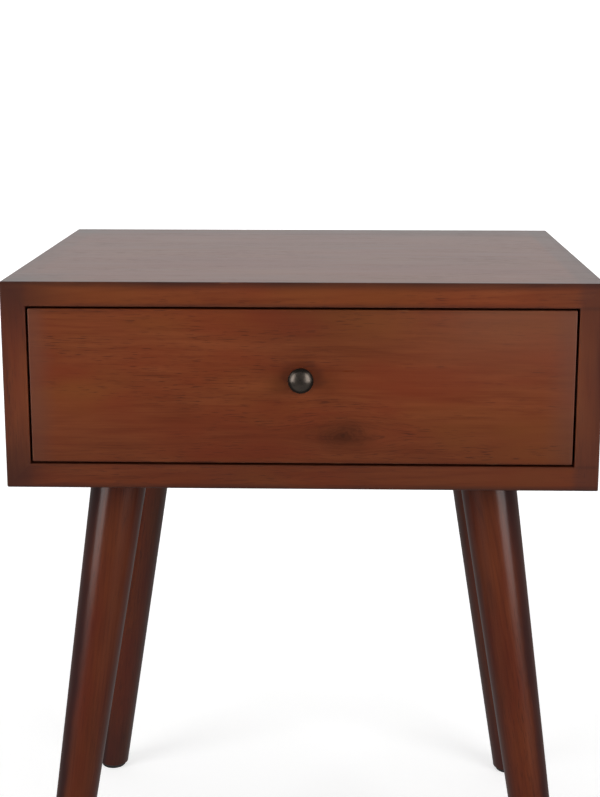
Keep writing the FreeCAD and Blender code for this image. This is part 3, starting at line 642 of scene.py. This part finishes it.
SENSOR_MM = 36.0
LENS_MM = 70.898
CAMERA_FROM_FRONT = Vector((0.0689, -2.5591, 0.7203))  # in case widths, from the bottom of the case's front
CAMERA_LEFT_TURN = math.radians(1.587)
CAMERA_TILT_DOWN = math.radians(12.402)
SIDE_LIGHTS = (("left", (-1.42, -1.12), 23.0), ("right", (1.20, -1.27), 23.5))  # name, place and watts
SIDE_LIGHTS_AIM = (0.0, -0.1)
SOFTBOX_Z, SOFTBOX_SIZE = 1.10, (1.00, 1.90)
PANEL_Z, PANEL_SIZE, PANEL_SHARE = 0.92, (0.90, 1.54), 0.44
PANEL_NEARER = 0.98


def make_camera():
    data = bpy.data.cameras.new("camera")
    data.sensor_width = SENSOR_MM
    data.lens = LENS_MM
    data.clip_start = 0.01
    camera = bpy.data.objects.new("camera", data)
    bpy.context.scene.collection.objects.link(camera)
    foot = Vector((CASE_MIDDLE.x, CASE_LOW.y, CASE_LOW.z))
    camera.location = foot + CAMERA_FROM_FRONT * CASE_W
    camera.rotation_euler = (math.pi / 2 - CAMERA_TILT_DOWN, 0, CAMERA_LEFT_TURN)
    bpy.context.scene.camera = camera


def softbox(name, place, aim, size, power, lights=True, mirrored=False):
    """An area light that can light the object, be mirrored in its lacquer, or both."""
    data = bpy.data.lights.new(name, "AREA")
    data.shape = "RECTANGLE"
    data.size, data.size_y = size
    data.energy = power
    light = bpy.data.objects.new(name, data)
    light.location = place
    light.rotation_euler = (Vector(aim) - Vector(place)).to_track_quat("-Z", "Y").to_euler()
    light.visible_camera = False
    light.visible_diffuse, light.visible_glossy = lights, mirrored
    bpy.context.scene.collection.objects.link(light)


def cove_mesh(flat_radius, bend, top_z, turns=96, steps=16):
    """Points and faces of a flat floor that curves up into a wall all round."""
    line = [(flat_radius, 0.0)]
    for k in range(1, steps + 1):
        a = math.pi / 2 * k / steps
        line.append((flat_radius + bend * math.sin(a), bend - bend * math.cos(a)))
    line.append((flat_radius + bend, top_z))
    points = [(0.0, 0.0, 0.0)]
    for reach, z in line:
        for t in range(turns):
            a = 2 * math.pi * t / turns
            points.append((reach * math.cos(a), reach * math.sin(a), z))
    faces = [(0, 1 + t, 1 + (t + 1) % turns) for t in range(turns)]
    for k in range(len(line) - 1):
        for t in range(turns):
            u = (t + 1) % turns
            near, far = 1 + k * turns, 1 + (k + 1) * turns
            faces.append((near + t, far + t, far + u, near + u))
    return points, faces


def make_cove(name, flat_radius, bend, top_z):
    """A round studio cove of pale paper, which glows with painted light.

    It fills every view and takes the shadows, but it isn't mirrored and throws no light on the object.
    """
    points, faces = cove_mesh(flat_radius, bend, top_z)
    mesh = bpy.data.meshes.new(name)
    mesh.from_pydata(points, [], faces)
    for face in mesh.polygons:
        face.use_smooth = True
    obj = bpy.data.objects.new(name, mesh)
    obj.visible_glossy = obj.visible_diffuse = obj.visible_shadow = False
    bpy.context.scene.collection.objects.link(obj)
    r = Recipe(name, Roughness=0.9, Specular_IOR_Level=0.1)
    x, y, _ = r.split(r.place())
    far = r.ease(r.vector("LENGTH", r.place(), None, "Value"), 1.0, 4.0)
    behind = r.times(r.ease(y, -1.0, 0.6), r.ease(r.math("ABSOLUTE", x), 1.5, 3.5, 1.0, 0.0))
    r.set("Base Color", PALE_GREY)
    # The cove glows with painted light, brighter far off and behind the object.
    r.set("Emission Color", WHITE)
    r.set("Emission Strength", r.plus(0.36, r.times(far, 0.25), r.times(behind, 0.35)))
    mesh.materials.append(r.material)


def make_world():
    """A dim room that fills the shade and is mirrored in the lacquer, with a bright band at the back."""
    world = bpy.data.worlds.new("studio")
    world.use_nodes = True
    bpy.context.scene.world = world
    r = Recipe.for_tree(world.node_tree)
    _, y, z = r.split(r.add("ShaderNodeTexCoord", output="Generated"))
    behind = r.ease(y, 0.1, 0.9)
    band = r.times(r.times(r.ease(z, -0.12, 0.16), r.ease(z, 0.35, 0.75, 0.71, 0.18)), behind)
    above = r.times(r.ease(z, 0.05, 0.60, 0.0, 0.07), r.math("SUBTRACT", 1.0, behind))
    below = r.ease(z, -0.70, -0.30, 0.12, 0.0)
    background = r.tree.nodes["Background"]
    r.feed(background.inputs["Color"], WHITE)
    r.feed(background.inputs["Strength"], r.plus(0.15, band, above, below))


def make_side_lights():
    """A softbox each side that only lights, and a dimmer panel just in front of it that is only mirrored."""
    for side, (x, y), power in SIDE_LIGHTS:
        aim = (*SIDE_LIGHTS_AIM, SOFTBOX_Z)
        softbox(f"{side}_softbox", (x, y, SOFTBOX_Z), aim, SOFTBOX_SIZE, power)
        panel, aim = (PANEL_NEARER * x, PANEL_NEARER * y, PANEL_Z), (*SIDE_LIGHTS_AIM, PANEL_Z)
        mirror = {"lights": False, "mirrored": True}
        softbox(f"{side}_reflection", panel, aim, PANEL_SIZE, PANEL_SHARE * power, **mirror)


def make_studio():
    """Soft light from both sides, a little from above, and some on the wall behind."""
    bpy.context.scene.view_settings.view_transform = "Standard"
    make_world()
    make_cove("studio_cove", flat_radius=4.0, bend=1.2, top_z=4.0)
    make_side_lights()
    softbox("overhead", place=(0, 0, 2.6), aim=(0, 0, 0), size=(1.6, 1.6), power=3.0)
    softbox("backdrop_light", place=(0, 2.0, 2.4), aim=(0, 4.4, 0.6), size=(3.0, 1.0), power=60)


smooth_cad()
dress_case()
dress_drawer()
dress_legs()
dress_knob()
dress_fittings()
make_camera()
make_studio()
